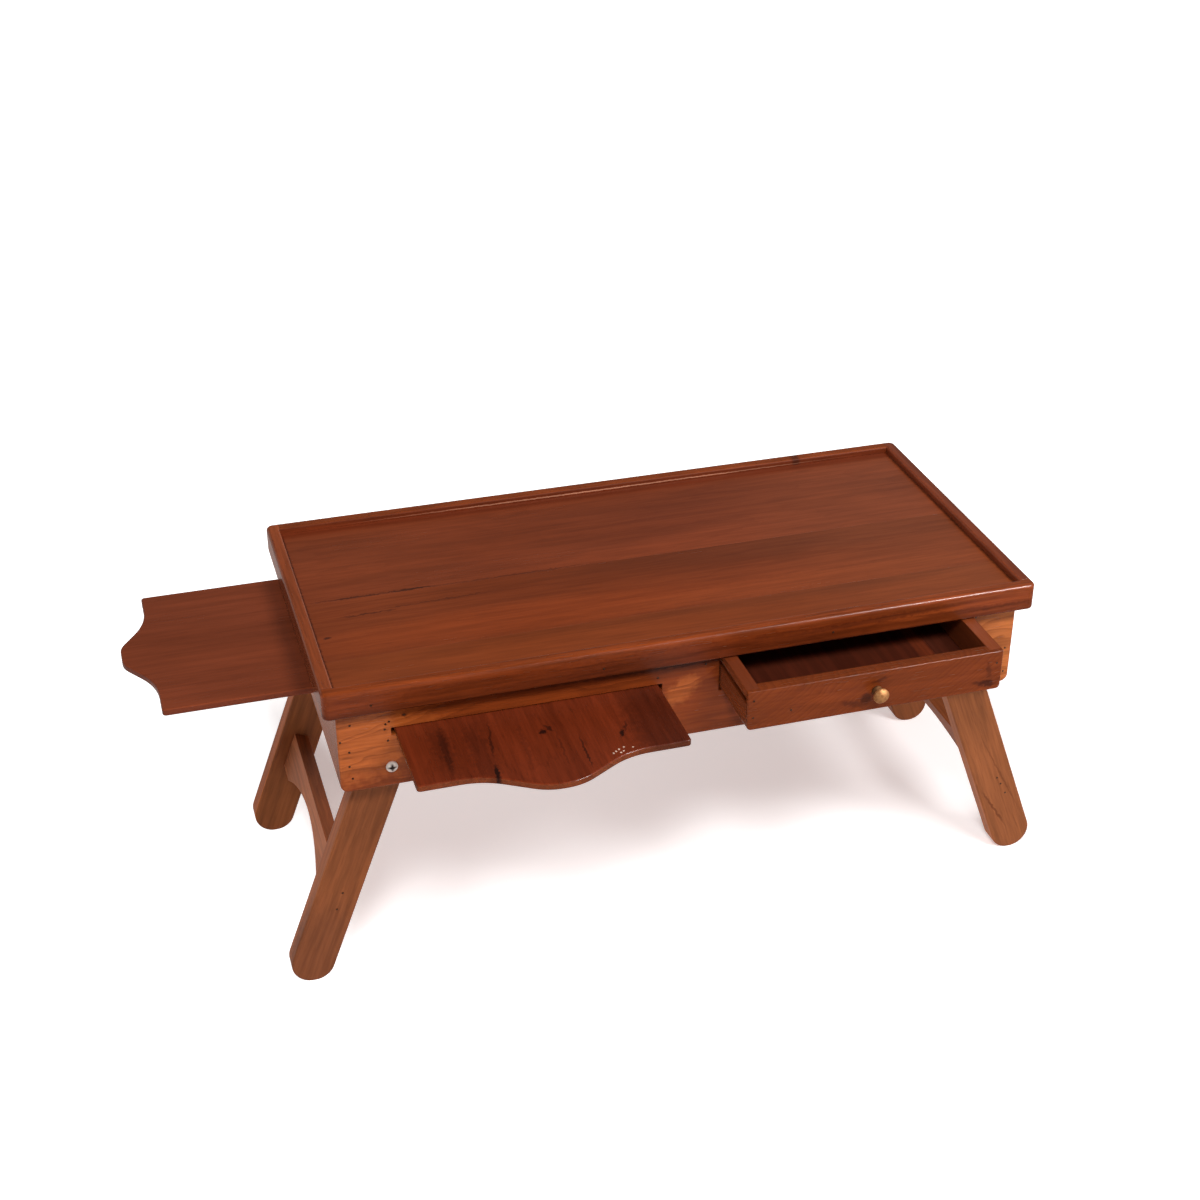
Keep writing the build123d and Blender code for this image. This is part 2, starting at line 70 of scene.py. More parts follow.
def tinted(colour, red, green=None, blue=None):
    """A colour with its channels scaled, all alike unless told otherwise."""
    green = red if green is None else green
    blue = green if blue is None else blue
    return (colour[0] * red, colour[1] * green, colour[2] * blue, 1)


def add(tree, kind, inputs=None, **settings):
    """A new shader node with its settings, each input set to a value or linked to an output."""
    made = tree.nodes.new(kind)
    for key, value in settings.items():
        setattr(made, key, value)
    for key, value in (inputs or {}).items():
        if isinstance(value, bpy.types.NodeSocket):
            tree.links.new(value, made.inputs[key])
        else:
            made.inputs[key].default_value = value
    return made


def calc(tree, operation, *values):
    """The result of a Math node."""
    return add(tree, "ShaderNodeMath", dict(enumerate(values)), operation=operation).outputs[0]


def vector(tree, operation, *values):
    """The result of a Vector Math node: a number for a length or a dot product, else a vector."""
    keys = (0, "Scale") if operation == "SCALE" else (0, 1, 2)
    made = add(tree, "ShaderNodeVectorMath", dict(zip(keys, values)), operation=operation)
    return made.outputs["Value" if operation in ("LENGTH", "DOT_PRODUCT") else "Vector"]


def ramp(tree, value, low, high, start=0.0, end=1.0):
    """A value brought smoothly from the range low..high to start..end."""
    inputs = {"Value": value, "From Min": low, "From Max": high, "To Min": start, "To Max": end}
    return add(tree, "ShaderNodeMapRange", inputs, interpolation_type="SMOOTHSTEP").outputs[0]


def fade(tree, value, low, high):
    """A share that falls smoothly from one at low to none at high."""
    return ramp(tree, value, low, high, 1.0, 0.0)


def mixed(tree, share, first, second, blend="MIX"):
    """Two colours mixed by a share."""
    mix = add(tree, "ShaderNodeMix", data_type="RGBA", blend_type=blend)
    for socket, value in ((mix.inputs[0], share), (mix.inputs[6], first), (mix.inputs[7], second)):
        if isinstance(value, bpy.types.NodeSocket):
            tree.links.new(value, socket)
        else:
            socket.default_value = value
    return mix.outputs[2]


def stretched_noise(tree, point, along, across, detail, offset=0.0):
    """The outputs of noise with so many waves to the metre along the grain and across it."""
    scaled = vector(tree, "MULTIPLY_ADD", point, (along, across, across), (offset,) * 3)
    inputs = {"Vector": scaled, "Scale": 1.0, "Detail": detail, "Roughness": 0.6}
    return add(tree, "ShaderNodeTexNoise", inputs).outputs


def new_group(name, inputs, outputs):
    """An empty shader node group with named sockets: the tree, what goes in and what comes out."""
    tree = bpy.data.node_groups.new(name, "ShaderNodeTree")
    for label, kind in inputs.items():
        tree.interface.new_socket(label, in_out="INPUT", socket_type=f"NodeSocket{kind}")
    for label, kind in outputs.items():
        tree.interface.new_socket(label, in_out="OUTPUT", socket_type=f"NodeSocket{kind}")
    return tree, tree.nodes.new("NodeGroupInput").outputs, tree.nodes.new("NodeGroupOutput").inputs


noise_middle = (0.5, 0.5, 0.5)


def sawn_figure_group():
    """The figure of a sawn board, at a point whose x runs along the grain.

    Growth rings are a saw-tooth of the distance from a pith line beside the board, which leans
    and wanders with slow noise. Fibres, pores, streaks and drifts of tone are noises drawn out
    along the grain.
    """
    tree, given, made = new_group(
        "sawn_figure",
        {
            "Point": "Vector", "Pith": "Vector", "Lean": "Vector",
            "Ring": "Float", "Sharp": "Float", "Wander": "Float",
        },
        dict.fromkeys(("Rings", "Fibre", "Pores", "Streak", "Drift"), "Float"),
    )
    point = given["Point"]
    slow = stretched_noise(tree, point, along=6.0, across=18.0, detail=3.0)["Color"]
    pushed = vector(tree, "SCALE", vector(tree, "SUBTRACT", slow, noise_middle), given["Wander"])
    along = add(tree, "ShaderNodeSeparateXYZ", {0: point}).outputs["X"]
    leaned = vector(tree, "SCALE", given["Lean"], along)
    arm = vector(tree, "ADD", point, pushed)
    for away in (given["Pith"], leaned):
        arm = vector(tree, "SUBTRACT", arm, away)
    reach = vector(tree, "LENGTH", vector(tree, "MULTIPLY", arm, (0, 1, 1)))
    inputs = {"W": reach, "Scale": 90.0, "Detail": 2.0}
    seasons = add(tree, "ShaderNodeTexNoise", inputs, noise_dimensions="1D").outputs[0]
    unevenness = 2.4
    count = calc(tree, "MULTIPLY_ADD", seasons, unevenness, calc(tree, "DIVIDE", reach, given["Ring"]))
    phase = calc(tree, "FRACT", count)
    late_growth = calc(tree, "POWER", phase, given["Sharp"])
    rings = calc(tree, "MULTIPLY", late_growth, fade(tree, phase, 0.9, 1.0))
    fine = stretched_noise(tree, point, along=24.0, across=470.0, detail=3.0, offset=5.0)[0]
    coarse = stretched_noise(tree, point, along=8.0, across=150.0, detail=3.0, offset=9.0)[0]
    fine_share = 0.4
    fibre = calc(tree, "MULTIPLY_ADD", fine, fine_share, calc(tree, "MULTIPLY", coarse, 1 - fine_share))
    flecks = stretched_noise(tree, point, along=62.0, across=640.0, detail=1.0, offset=3.0)[0]
    streaks = stretched_noise(tree, point, along=5.0, across=95.0, detail=4.0, offset=13.0)[0]
    drift = stretched_noise(tree, point, along=3.4, across=19.0, detail=3.0, offset=21.0)[0]
    for label, value in (
        ("Rings", rings),
        ("Fibre", ramp(tree, fibre, 0.3, 0.7)),
        ("Pores", ramp(tree, flecks, 0.57, 0.72)),
        ("Streak", ramp(tree, streaks, 0.56, 0.76)),
        ("Drift", ramp(tree, drift, 0.3, 0.7)),
    ):
        tree.links.new(value, made[label])
    return tree


def blemish_group():
    """A soft-edged spot, one at its centre and none past its half sizes, with a ragged outline."""
    tree, given, made = new_group(
        "blemish",
        {"Point": "Vector", "Centre": "Vector", "Half": "Vector", "Turn": "Vector", "Ragged": "Float"},
        {"Spot": "Float"},
    )
    point = given["Point"]
    noise = add(tree, "ShaderNodeTexNoise", {"Vector": point, "Scale": 230.0, "Detail": 4.0})
    centred = vector(tree, "SUBTRACT", noise.outputs["Color"], noise_middle)
    moved = vector(tree, "ADD", point, vector(tree, "SCALE", centred, given["Ragged"]))
    inputs = {"Vector": vector(tree, "SUBTRACT", moved, given["Centre"]), "Rotation": given["Turn"]}
    turned = add(tree, "ShaderNodeVectorRotate", inputs, rotation_type="EULER_XYZ").outputs[0]
    reach = vector(tree, "LENGTH", vector(tree, "DIVIDE", turned, given["Half"]))
    tree.links.new(fade(tree, reach, 0.35, 1.0), made["Spot"])
    return tree


def worn_arris_group():
    """Where a sharp edge is near: the rounded normal there, and how far it turns from the flat one."""
    tree, given, made = new_group(
        "worn_arris", {"Radius": "Float", "Point": "Vector"}, {"Edge": "Float", "Normal": "Vector"}
    )
    rounded = add(tree, "ShaderNodeBevel", {"Radius": given["Radius"]}, samples=6).outputs[0]
    flat = add(tree, "ShaderNodeNewGeometry").outputs["Normal"]
    turn = fade(tree, vector(tree, "DOT_PRODUCT", rounded, flat), 0.72, 0.995)
    rubbed = add(tree, "ShaderNodeTexNoise", {"Vector": given["Point"], "Scale": 70.0, "Detail": 3.0})
    broken = ramp(tree, rubbed.outputs[0], 0.35, 0.62, 0.25, 1.0)
    tree.links.new(calc(tree, "MULTIPLY", turn, broken), made["Edge"])
    tree.links.new(rounded, made["Normal"])
    return tree


sawn_figure = sawn_figure_group()
blemish = blemish_group()
worn_arris = worn_arris_group()


def new_material(name):
    """A node material, its tree and its shader."""
    material = bpy.data.materials.new(name)
    material.use_nodes = True
    return material, material.node_tree, material.node_tree.nodes["Principled BSDF"]


def spotted(tree, point, colour, spots):
    """A colour with spots laid on it in turn, a later one over an earlier one.

    Each spot is (centre, half sizes, turn, raggedness, strength, colour).
    """
    for centre, half, turn, ragged, strength, tint in spots:
        inputs = {"Point": point, "Centre": centre, "Half": half, "Turn": turn, "Ragged": ragged}
        spot = add(tree, "ShaderNodeGroup", inputs, node_tree=blemish).outputs["Spot"]
        colour = mixed(tree, calc(tree, "MULTIPLY", spot, strength), colour, tint)
    return colour


def lacquered_wood(
    name, tone, turn=(0, 0, 0), shift=(0, 0, 0), pith=(0, 0.16, -0.1), lean=(0, 0, 0), ring=0.012,
    sharp=2.0, wander=0.03, rings=0.25, streaks=0.25, pores=0.25, fibres=0.2, drifts=0.14, worn=0.3,
    rough=0.24, shine=0.4, relief=0.08, arris=0.0009, sides=None, spots=(),
):
    """A board under lacquer: a tone that drifts, darkened by its figure, with spots and worn edges.

    turn brings the grain onto x, rings to drifts are how strongly each part of the figure shows,
    sides is an axis and the tone of faces that don't look along it, and spots are as in spotted.
    """
    material, tree, shader = new_material(name)
    place = add(tree, "ShaderNodeTexCoord").outputs
    point = place["Object"]
    inputs = {"Vector": point, "Rotation": turn, "Location": shift}
    grain = add(tree, "ShaderNodeMapping", inputs).outputs[0]
    inputs = {"Point": grain, "Pith": pith, "Lean": lean, "Ring": ring, "Sharp": sharp, "Wander": wander}
    masks = add(tree, "ShaderNodeGroup", inputs, node_tree=sawn_figure).outputs
    late_tone = tinted(tone, 0.42, 0.36, 0.36)
    pore_tone = tinted(late_tone, 0.45)
    rubbed_tone = tinted(tone, 1.6, 1.65, 1.6)

    colour = mixed(tree, masks["Drift"], tinted(tone, 1 - drifts), tinted(tone, 1 + drifts))
    if sides:
        axis, side_tone = sides
        facing = add(tree, "ShaderNodeSeparateXYZ", {0: place["Normal"]}).outputs[axis]
        across_axis = fade(tree, calc(tree, "ABSOLUTE", facing), 0.3, 0.8)
        colour = mixed(tree, across_axis, colour, side_tone)
    colour = spotted(tree, point, colour, spots)
    colour = mixed(tree, calc(tree, "MULTIPLY", masks["Rings"], rings), colour, late_tone)
    colour = mixed(tree, calc(tree, "MULTIPLY", masks["Streak"], streaks), colour, late_tone)
    sheen = ramp(tree, masks["Fibre"], 0.0, 1.0, 1 - fibres, 1 + fibres)
    colour = mixed(tree, 1.0, colour, sheen, "MULTIPLY")
    fewest_pores = 0.45
    crowding = ramp(tree, masks["Drift"], 0.2, 0.8, 1.0, fewest_pores)
    pits = calc(tree, "MULTIPLY", masks["Pores"], crowding)
    colour = mixed(tree, calc(tree, "MULTIPLY", pits, pores), colour, pore_tone)
    edge = add(tree, "ShaderNodeGroup", {"Radius": arris, "Point": point}, node_tree=worn_arris).outputs
    colour = mixed(tree, calc(tree, "MULTIPLY", edge["Edge"], worn), colour, rubbed_tone)

    smears = stretched_noise(tree, grain, along=5.0, across=17.0, detail=2.0, offset=31.0)[0]
    wiped, smeared, dull_pores = rough - 0.025, rough + 0.035, 0.15 * pores
    gloss = ramp(tree, smears, 0.2, 0.8, wiped, smeared)
    gloss = calc(tree, "MULTIPLY_ADD", pits, dull_pores, gloss)
    fibre_height, pit_height, relief_depth = 0.3, -1.0, 0.0002
    sunk = calc(tree, "MULTIPLY", pits, pit_height)
    height = calc(tree, "MULTIPLY_ADD", masks["Fibre"], fibre_height, sunk)
    inputs = {"Strength": relief, "Distance": relief_depth, "Height": height, "Normal": edge["Normal"]}
    bump = add(tree, "ShaderNodeBump", inputs).outputs[0]
    shader.inputs["Specular IOR Level"].default_value = shine
    tree.links.new(colour, shader.inputs["Base Color"])
    tree.links.new(gloss, shader.inputs["Roughness"])
    tree.links.new(bump, shader.inputs["Normal"])
    return material


def finish_nodes(material, *names):
    """One material put on CAD nodes."""
    for name in names:
        mesh = frame["nodes"][name].data
        mesh.materials.clear()
        mesh.materials.append(material)


straight = (0, 0, 0)
endless = 2.0
ink = srgb(34, 14, 10)
top_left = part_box("top_board_back")[0][0]
top_right, top_rear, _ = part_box("top_board_back")[1]
along_rim = (
    ((0.31, 0, 0), (0.26, 0.3, 0.03), straight, 0.02, 0.18, srgb(150, 82, 48)),
    ((-0.31, 0, 0), (0.2, 0.3, 0.03), straight, 0.02, 0.14, srgb(150, 78, 46)),
    # Painted shade: dark lines in the corners where the end rims meet the panel, and a darker band at
    # the foot of the back rim.
    ((top_left, 0, 0), (0.0028, endless, 0.02), straight, 0.003, 0.7, ink),
    ((top_right, 0, 0), (0.0034, endless, 0.02), straight, 0.003, 0.6, ink),
    ((0, top_rear, 0), (endless, 0.014, 0.02), straight, 0.004, 0.55, srgb(98, 34, 16)),
)
top_front_spots = (
    ((0.08, -0.092, 0), (0.36, 0.016, 0.03), straight, 0.01, 0.28, srgb(88, 42, 20)),
)
top_middle_spots = (
    ((-0.13, -0.068, 0), (0.26, 0.034, 0.03), straight, 0.02, 0.5, srgb(138, 58, 21)),
    ((0.16, -0.076, 0), (0.3, 0.02, 0.03), straight, 0.012, 0.4, srgb(148, 68, 30)),
    ((0.16, -0.002, 0), (0.3, 0.036, 0.03), straight, 0.012, 0.27, srgb(84, 40, 20)),
    ((-0.245, -0.0235, 0), (0.034, 0.0017, 0.02), (0, 0, -0.03), 0.006, 0.7, ink),
    ((-0.19, -0.018, 0), (0.07, 0.0015, 0.02), (0, 0, -0.03), 0.006, 0.45, ink),
    ((-0.284, -0.053, 0), (0.0045, 0.0022, 0.02), straight, 0.004, 0.9, ink),
)
top_back_spots = (
    ((-0.25, 0.0066, 0), (0.05, 0.0017, 0.02), straight, 0.006, 0.75, ink),
    ((-0.203, 0.0072, 0), (0.03, 0.0021, 0.02), straight, 0.006, 0.85, ink),
    ((-0.11, 0.0062, 0), (0.1, 0.0016, 0.02), straight, 0.006, 0.4, ink),
)
for board, tone, shift, rings, spots in (
    ("front", srgb(124, 56, 23), (0.4, 0, 0), 0.15, top_front_spots),
    ("middle", srgb(117, 51, 22), (0.7, 0.3, 0), 0.18, top_middle_spots),
    ("back", srgb(123, 55, 28), (1.9, 0.1, 0.2), 0.15, top_back_spots),
):
    finish_nodes(
        lacquered_wood(
            f"top_{board}_wood", tone, shift=shift, rings=rings, pores=0.1, fibres=0.12, worn=0.05,
            relief=0.02, arris=0.0002, spots=spots + along_rim,
        ),
        f"top_board_{board}",
    )

# Rim: four strips of the same wood nailed round the boards, their upper edges rounded over by
# hand. The front strip runs the full length, the end strips butt behind it, and the back strip
# fits between them.

front_to_back = (0, 0, -pi / 2)
rim_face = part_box("rim_front")[0][1]
rim_front_spots = (
    ((0.25, rim_face, -0.006), (0.12, 0.03, 0.03), straight, 0.02, 0.35, srgb(150, 70, 32)),
    # Painted shade: the lower part of the rim's front face is darker.
    ((0, rim_face, -0.02), (endless, 0.03, 0.014), straight, 0.003, 0.35, srgb(66, 26, 12)),
    # Painted highlight: a lighter band along the rounded upper edge.
    ((0, rim_face, 0.006), (endless, 0.008, 0.008), straight, 0.002, 0.35, srgb(136, 62, 27)),
    ((0.16, rim_face, -0.004), (0.1, 0.02, 0.0035), (0, 0.03, 0), 0.006, 0.4, ink),
    ((0.25, rim_face, -0.009), (0.07, 0.02, 0.003), (0, -0.02, 0), 0.005, 0.35, ink),
    ((-0.02, rim_face, -0.01), (0.2, 0.02, 0.012), straight, 0.02, 0.35, srgb(70, 28, 14)),
)
# Its faces that don't look along y, its upper face among them, are painted lighter than its front face:
# painted light.
finish_nodes(
    lacquered_wood(
        "rim_front_wood", srgb(106, 43, 14), shift=(3.1, 0, 0), ring=0.007, fibres=0.28, shine=0.34,
        sides=("Y", srgb(122, 53, 20)), spots=rim_front_spots,
    ),
    "rim_front",
)
rim_back_spots = (
    ((0.2, 0.142, 0.004), (0.006, 0.02, 0.01), straight, 0.002, 0.6, ink),
    ((-0.15, top_rear, 0.0045), (0.25, 0.004, 0.003), straight, 0.001, 0.5, srgb(88, 35, 15)),
    # Painted highlight: a thin pale line at the foot of the back rim.
    ((0.013, top_rear, 0.0016), (0.27, 0.004, 0.0009), straight, 0.0012, 0.55, srgb(226, 160, 128)),
)
finish_nodes(
    lacquered_wood(
        "rim_back_wood", srgb(130, 60, 27), shift=(4.3, 0, 0), ring=0.007, rough=0.5, shine=0.12,
        sides=("Z", srgb(108, 44, 19)), spots=rim_back_spots,
    ),
    "rim_back",
)
for name, shift, tone in (
    ("rim_left", (5.2, 0, 0), srgb(137, 66, 35)),
    ("rim_right", (6.7, 0, 0), srgb(113, 51, 28)),
):
    finish_nodes(lacquered_wood(f"{name}_wood", tone, front_to_back, shift, ring=0.007, shine=0.3), name)

# Box: four boards under the top, front and back lapped over the end boards and nailed. Paler and
# more orange wood than the top, with open flame figure, under the same lacquer.

honey = srgb(166, 85, 36)
box_pith = (0, 0.05, -0.13)
apron_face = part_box("apron_front")[0][1]
apron_front_spots = (
    ((-0.285, apron_face, -0.05), (0.1, 0.03, 0.05), straight, 0.03, 0.9, honey),
    ((-0.008, apron_face, -0.05), (0.024, 0.03, 0.013), (0, 0.7, 0), 0.014, 0.7, honey),
    ((0.29, apron_face, -0.055), (0.075, 0.03, 0.07), straight, 0.03, 0.95, srgb(179, 100, 50)),
    ((-0.235, apron_face, -0.0505), (0.016, 0.03, 0.0009), (0, 0.1, 0), 0.004, 0.7, ink),
    ((-0.2397, apron_face, -0.0297), (0.0036, 0.03, 0.0022), straight, 0.002, 0.7, ink),
    # Painted shadow: a dark band on the apron just under the rim.
    ((0.02, apron_face, -0.0235), (0.275, 0.03, 0.0045), straight, 0.003, 0.75, ink),
)
finish_nodes(
    lacquered_wood(
        "apron_front_wood", srgb(115, 49, 16), shift=(0.2, 0, 0), pith=box_pith, lean=(0, 0, 0.1),
        ring=0.0045, wander=0.035, rings=0.5, spots=apron_front_spots,
    ),
    "apron_front",
)
for name, turn, shift in (
    ("apron_back", straight, (8.2, 0, 0)),
    ("apron_left", front_to_back, (9.1, 0, 0)),
    ("apron_right", front_to_back, (10.4, 0, 0)),
):
    finish_nodes(
        lacquered_wood(
            f"{name}_wood", srgb(160, 84, 42), turn, shift, pith=box_pith, ring=0.006, sharp=3.5,
            wander=0.06, rings=0.45, pores=0.05, shine=0.5,
        ),
        name,
    )

# Framing inside the box: partitions and runners for the drawer, grooved rails and battens for the
# trays. Strips of plain hardwood, sawn and planed, left dull and glued in place.

for place, (name, turn) in enumerate(
    (
        ("drawer_partition_left", front_to_back), ("drawer_partition_right", front_to_back),
        ("drawer_runner_left", front_to_back), ("drawer_runner_right", front_to_back),
        ("front_tray_rail_left", front_to_back), ("front_tray_rail_right", front_to_back),
        ("left_tray_batten_front", straight), ("left_tray_batten_back", straight),
    )
):
    finish_nodes(
        lacquered_wood(
            f"{name}_wood", srgb(134, 72, 38), turn, (11 + place, 0, 0), ring=0.006, rough=0.5,
        ),
        name,
    )

# Trays: thin lacquered boards with a bracket-shaped nose sawn on the outer end, dark red mahogany
# at the front and a browner one at the left end. Both slide in grooves. The front one is streaked
# and its lacquer has flaked near the nose.

tray_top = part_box("front_tray")[1][2]
flaked = srgb(226, 196, 176)
front_tray_spots = [
    ((x, y, tray_top), (wide, long, 0.02), (0, 0, lean), ragged, strength, ink)
    for x, y, wide, long, lean, ragged, strength in (
        (-0.19, -0.19, 0.012, 0.06, 0.0, 0.02, 0.35),
        (-0.2165, -0.18, 0.0035, 0.045, 0.05, 0.008, 0.55),
        (-0.218, -0.18, 0.012, 0.05, 0.0, 0.02, 0.3),
        (-0.179, -0.175, 0.0014, 0.034, 0.15, 0.006, 0.65),
        (-0.185, -0.221, 0.0028, 0.017, 0.1, 0.005, 1.0),
        (-0.1368, -0.1762, 0.0046, 0.0052, 0.5, 0.007, 1.0),
        (-0.131, -0.172, 0.002, 0.008, -0.5, 0.006, 0.7),
        (-0.0775, -0.1955, 0.0026, 0.0075, 0.35, 0.005, 1.0),
        (-0.072, -0.187, 0.0016, 0.01, 0.35, 0.005, 0.6),
        (-0.112, -0.212, 0.0014, 0.032, 0.05, 0.005, 0.75),
        (-0.128, -0.2, 0.0012, 0.03, 0.05, 0.006, 0.4),
        (-0.155, -0.19, 0.003, 0.05, 0.05, 0.008, 0.3),
        (-0.045, -0.19, 0.036, 0.1, 0.0, 0.02, 0.55),
    )
] + [
    ((x, y, tray_top), (0.0011, 0.0013, 0.004), straight, 0.001, 0.9, flaked)
    for x, y in (
        (-0.092, -0.2205), (-0.0895, -0.2185), (-0.0865, -0.2165), (-0.0862, -0.221),
        (-0.082, -0.2145), (-0.075, -0.2165), (-0.0835, -0.2195),
    )
]
# Its edges, the faces that don't look up or down, are painted lighter than its top: painted light.
finish_nodes(
    lacquered_wood(
        "front_tray_wood", srgb(106, 40, 18), front_to_back, (21, 0, 0), ring=0.016, pores=0.35,
        fibres=0.15, shine=0.3, arris=0.0004, sides=("Z", srgb(112, 52, 24)), spots=front_tray_spots,
    ),
    "front_tray",
)
finish_nodes(
    lacquered_wood(
        "left_tray_wood", srgb(122, 57, 33), shift=(22.5, 0, 0), rings=0.12, pores=0.12, fibres=0.1,
        shine=0.3, relief=0.02, sides=("Z", srgb(102, 45, 25)),
    ),
    "left_tray",
)

# Drawer: a lacquered front board lapped over two grooved sides, with a back board and two thin
# floor planks let into grooves. The wood is that of the top, the floor darker, and painted paler
# towards the rear as painted light, which lifts the shade under the top.

drawer_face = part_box("drawer_front")[0][1]
drawer_front_spots = (
    ((0.129, drawer_face, -0.043), (0.007, 0.02, 0.008), (0, 0.6, 0), 0.009, 0.7, ink),
    ((0.118, drawer_face, -0.047), (0.016, 0.02, 0.004), (0, -0.3, 0), 0.008, 0.45, ink),
    ((0.14, drawer_face, -0.0275), (0.011, 0.02, 0.0022), (0, 0.2, 0), 0.005, 0.55, ink),
    ((0.2375, drawer_face, -0.0485), (0.011, 0.02, 0.0038), (0, -0.15, 0), 0.007, 0.75, ink),
    ((0.238, drawer_face, -0.036), (0.0035, 0.02, 0.011), (0, 0.15, 0), 0.007, 0.4, ink),
    ((0.229, drawer_face, -0.0475), (0.008, 0.02, 0.0025), (0, -0.3, 0), 0.006, 0.4, ink),
)
finish_nodes(
    lacquered_wood(
        "drawer_front_wood", srgb(111, 48, 16), shift=(24, 0, 0), lean=(0, 0, 0.7), ring=0.005,
        sharp=1.5, rings=0.42, fibres=0.14, rough=0.25, shine=0.3, relief=0.03, arris=0.0008,
        spots=drawer_front_spots,
    ),
    "drawer_front",
)
# The right side's upper edge, like its other faces that don't look along x, is painted lighter than its
# broad faces: painted light.
for name, shift, tone, edge_tone in (
    ("drawer_side_left", (25, 0, 0), srgb(118, 55, 27), srgb(106, 47, 22)),
    ("drawer_side_right", (26, 0, 0), srgb(104, 48, 23), srgb(130, 61, 30)),
):
    finish_nodes(
        lacquered_wood(
            f"{name}_wood", tone, front_to_back, shift, ring=0.006, rings=0.1, streaks=0.12, pores=0.06,
            fibres=0.1, sides=("X", edge_tone),
        ),
        name,
    )
finish_nodes(
    lacquered_wood("drawer_back_wood", srgb(104, 50, 26), shift=(27, 0, 0), ring=0.006), "drawer_back"
)
# Painted light: the drawer floor is paler towards the rear, where it lies in shade under the top.
painted_light_rear = ((0.14, 0.05, -0.046), (0.4, 0.13, 0.02), straight, 0.02, 0.4, srgb(128, 84, 66))
pale_strip = ((0.208, 0, -0.046), (0.009, endless, 0.02), straight, 0.004, 0.7, srgb(114, 48, 24))
for name, shift, tone, spots in (
    ("drawer_floor_wide", (28, 0, 0), srgb(71, 28, 15), (painted_light_rear, pale_strip)),
    ("drawer_floor_narrow", (29, 0, 0), srgb(69, 30, 19), (painted_light_rear,)),
):
    finish_nodes(
        lacquered_wood(
            f"{name}_wood", tone, front_to_back, shift, ring=0.01, rings=0.2, streaks=0.4, pores=0.03,
            fibres=0.2, rough=0.4, shine=0.25, relief=0.0, spots=spots,
        ),
        name,
    )

# Knob: a small mushroom of turned brass, rubbed bright on its dome and darker at its foot. A
# nickel-plated screw driven from inside the drawer's front holds it.


def worn_metal(name, bright, dull, rough, metallic=1.0, spots=(), mirrored=False):
    """Metal with a broken-up tarnish: two tints mixed by noise, the dull one less glossy.

    Its spots are as in spotted, and repeated on all four quarters of the desk if mirrored.
    """
    material, tree, shader = new_material(name)
    point = add(tree, "ShaderNodeTexCoord").outputs["Object"]
    cloud = add(tree, "ShaderNodeTexNoise", {"Vector": point, "Scale": 420.0, "Detail": 4.0}).outputs[0]
    tarnish = ramp(tree, cloud, 0.42, 0.7)
    place = vector(tree, "ABSOLUTE", point) if mirrored else point
    colour = spotted(tree, place, mixed(tree, tarnish, bright, dull), spots)
    inputs = {"Vector": point, "Scale": 2600.0, "Detail": 2.0}
    scratches = add(tree, "ShaderNodeTexNoise", inputs).outputs[0]
    inputs = {"Strength": 0.12, "Distance": 0.00005, "Height": scratches}
    bump = add(tree, "ShaderNodeBump", inputs).outputs[0]
    tarnished_rough = rough + 0.15
    gloss = ramp(tree, tarnish, 0.0, 1.0, rough, tarnished_rough)
    shader.inputs["Metallic"].default_value = metallic
    tree.links.new(colour, shader.inputs["Base Color"])
    tree.links.new(gloss, shader.inputs["Roughness"])
    tree.links.new(bump, shader.inputs["Normal"])
    return material


knob_low, knob_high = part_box("drawer_knob")
knob_foot = ((knob_low[0] + knob_high[0]) / 2, knob_high[1], (knob_low[2] + knob_high[2]) / 2)
dark_foot = (knob_foot, (0.02, 0.0085, 0.02), straight, 0.001, 0.9, srgb(98, 61, 34))
brass = worn_metal("knob_brass", srgb(208, 153, 100), srgb(179, 123, 75), 0.6, 0.8, (dark_foot,))
finish_nodes(brass, "drawer_knob")
nickel = worn_metal("nickel_plate", srgb(232, 222, 214), srgb(200, 190, 182), 0.36, 0.6)
finish_nodes(nickel, "knob_screw")

# Legs: two pairs of splayed hardwood boards with round ends, each pair joined by an arched
# stretcher nailed between them. Grain runs down each leg and along each stretcher, under a thin
# dull lacquer.

left_fold, right_fold = frame["record"]["behaviour"]["joints"][:2]
splay = radians(left_fold["range_deg"][1] - 90)
leg_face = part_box("right_leg_front")[0][1]
right_leg_spots = (
    ((0.3081, leg_face, -0.207), (0.064, 0.02, 0.0012), (0, -1.074, 0), 0.003, 0.5, srgb(92, 44, 20)),
    ((0.3067, leg_face, -0.2472), (0.033, 0.02, 0.0016), (0, -0.994, 0), 0.003, 0.7, srgb(86, 40, 18)),
)
left_leg_spots = (
    ((-0.316, leg_face, -0.265), (0.06, 0.02, 0.07), straight, 0.02, 0.8, srgb(113, 63, 37)),
)
# Each leg's narrow faces, those that don't look along y, are painted lighter than its broad faces:
# painted light.
for place, (name, side, tone, narrow, spots) in enumerate(
    (
        ("left_leg_front", -1, srgb(136, 76, 42), (1.6, 1.7, 2.0), left_leg_spots),
        ("left_leg_back", -1, srgb(139, 79, 43), (2.1, 1.9, 1.95), ()),
        ("right_leg_front", 1, srgb(149, 86, 49), (1.55, 1.6, 1.85), right_leg_spots),
        ("right_leg_back", 1, srgb(133, 74, 41), (1.5, 1.45, 1.5), ()),
    )
):
    down_leg = (0, side * splay - pi / 2, 0)
    finish_nodes(
        lacquered_wood(
            f"{name}_wood", tone, down_leg, (31 + place, 0, 0), ring=0.008, sharp=3.0, rings=0.2,
            streaks=0.16, pores=0.15, fibres=0.17, rough=0.42, shine=0.15, arris=0.0025,
            sides=("Y", tinted(tone, *narrow)), spots=spots,
        ),
        name,
    )
